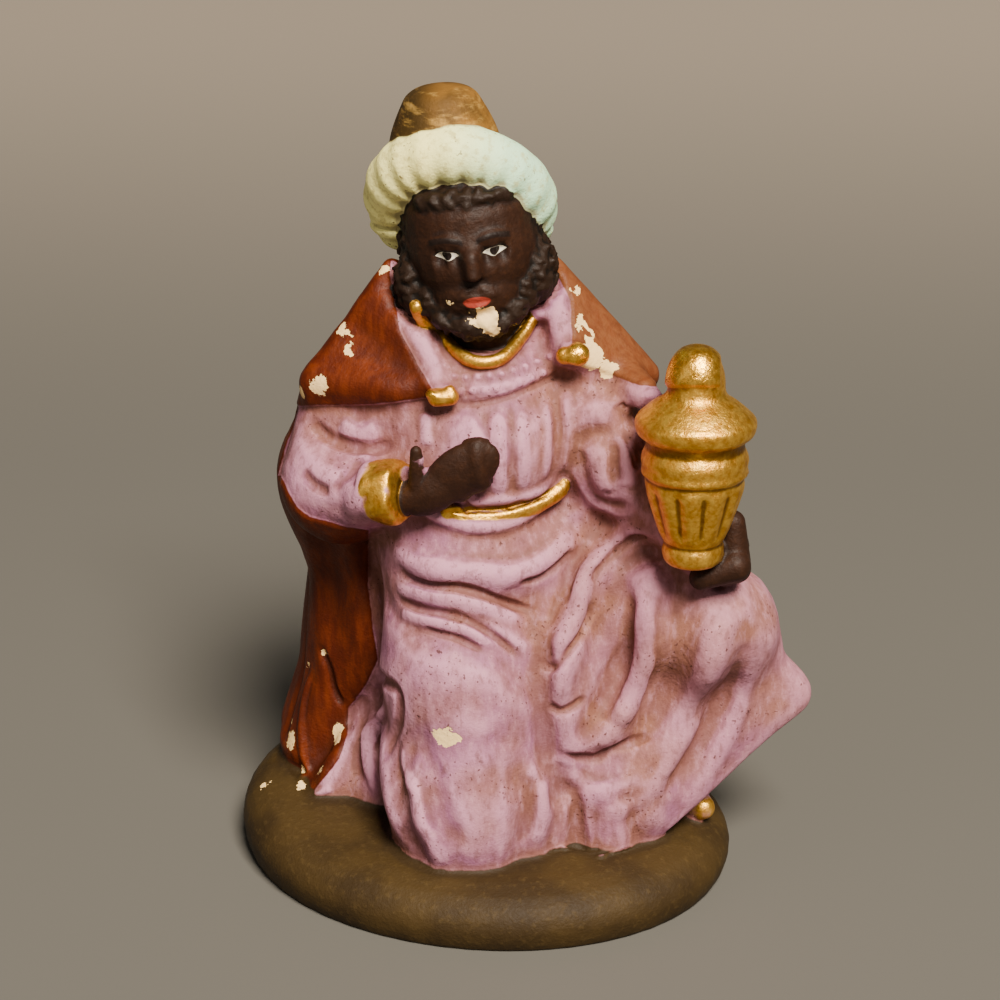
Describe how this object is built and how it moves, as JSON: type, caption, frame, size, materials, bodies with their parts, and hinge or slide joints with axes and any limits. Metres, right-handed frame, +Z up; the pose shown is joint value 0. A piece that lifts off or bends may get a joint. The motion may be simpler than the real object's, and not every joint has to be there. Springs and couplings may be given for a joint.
{
  "type": "nativity wise man figurine",
  "caption": "Kneeling wise man for a nativity scene, a painted plaster cast that holds a covered gold cup and stands on its own mound of ground.",
  "frame": {"origin": "on the underside of the ground mound, under the middle of the kneeling figure", "axes": "+Z up, -Y the way the figure faces, +X towards the figure's own left, where it holds the cup"},
  "size_m": [0.0919, 0.0704, 0.1267],
  "materials": {
    "painted_plaster": "cast plaster with worn matte and gold paint"
  },
  "bodies": {
    "root": {"wise_man_figurine": "painted_plaster"}
  },
  "joints": []
}
